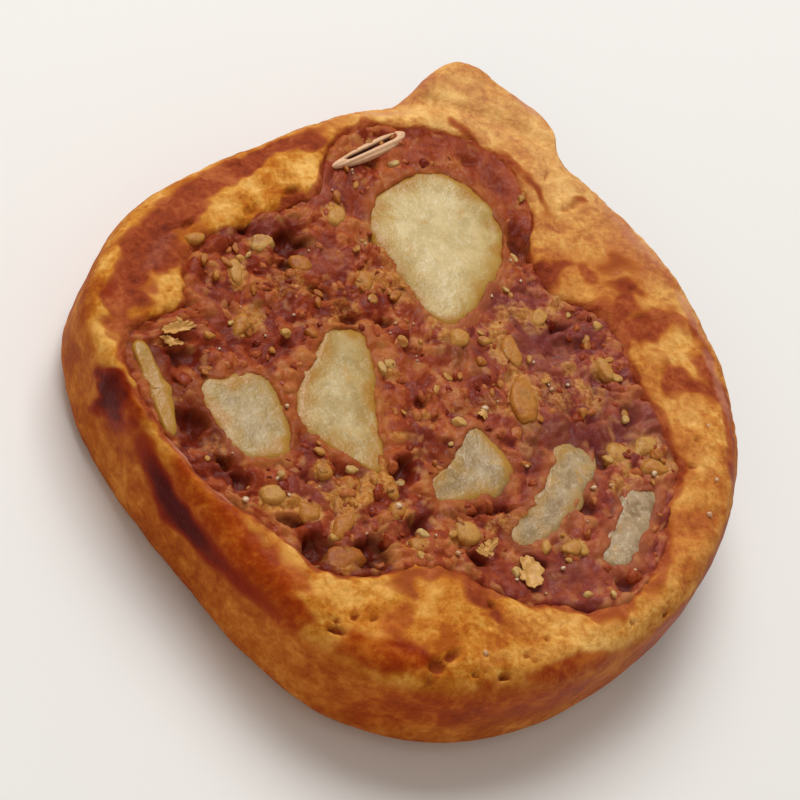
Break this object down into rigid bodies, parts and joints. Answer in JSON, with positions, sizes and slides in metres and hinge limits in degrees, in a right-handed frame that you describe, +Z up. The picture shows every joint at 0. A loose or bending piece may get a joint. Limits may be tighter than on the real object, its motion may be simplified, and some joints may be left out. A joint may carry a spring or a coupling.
{
  "type": "chicken biscuit",
  "caption": "Round slice of a baked roll lying cut face up: a glazed golden dough rim with a torn flap round a coarse savoury filling set with pale chunks of candied fat.",
  "frame": {"origin": "middle of the whole slice's box, on the flat base", "axes": "+Z up, square to the cut face; +X level in the picture's picture; the torn flap stands out towards +Y"},
  "size_m": [0.057, 0.063, 0.011],
  "materials": {
    "glazed_dough": "baked golden dough with a patchy satin egg glaze",
    "savoury_filling": "coarse reddish brown paste with nut and sesame bits and oily sparkle",
    "candied_fat": "pale waxy translucent chunks with a soft gloss"
  },
  "bodies": {
    "root": {"dough": "glazed_dough", "filling": "savoury_filling", "fat_1": "candied_fat", "fat_2": "candied_fat", "fat_3": "candied_fat", "fat_4": "candied_fat", "fat_5": "candied_fat", "fat_6": "candied_fat", "fat_7": "candied_fat"}
  },
  "joints": []
}
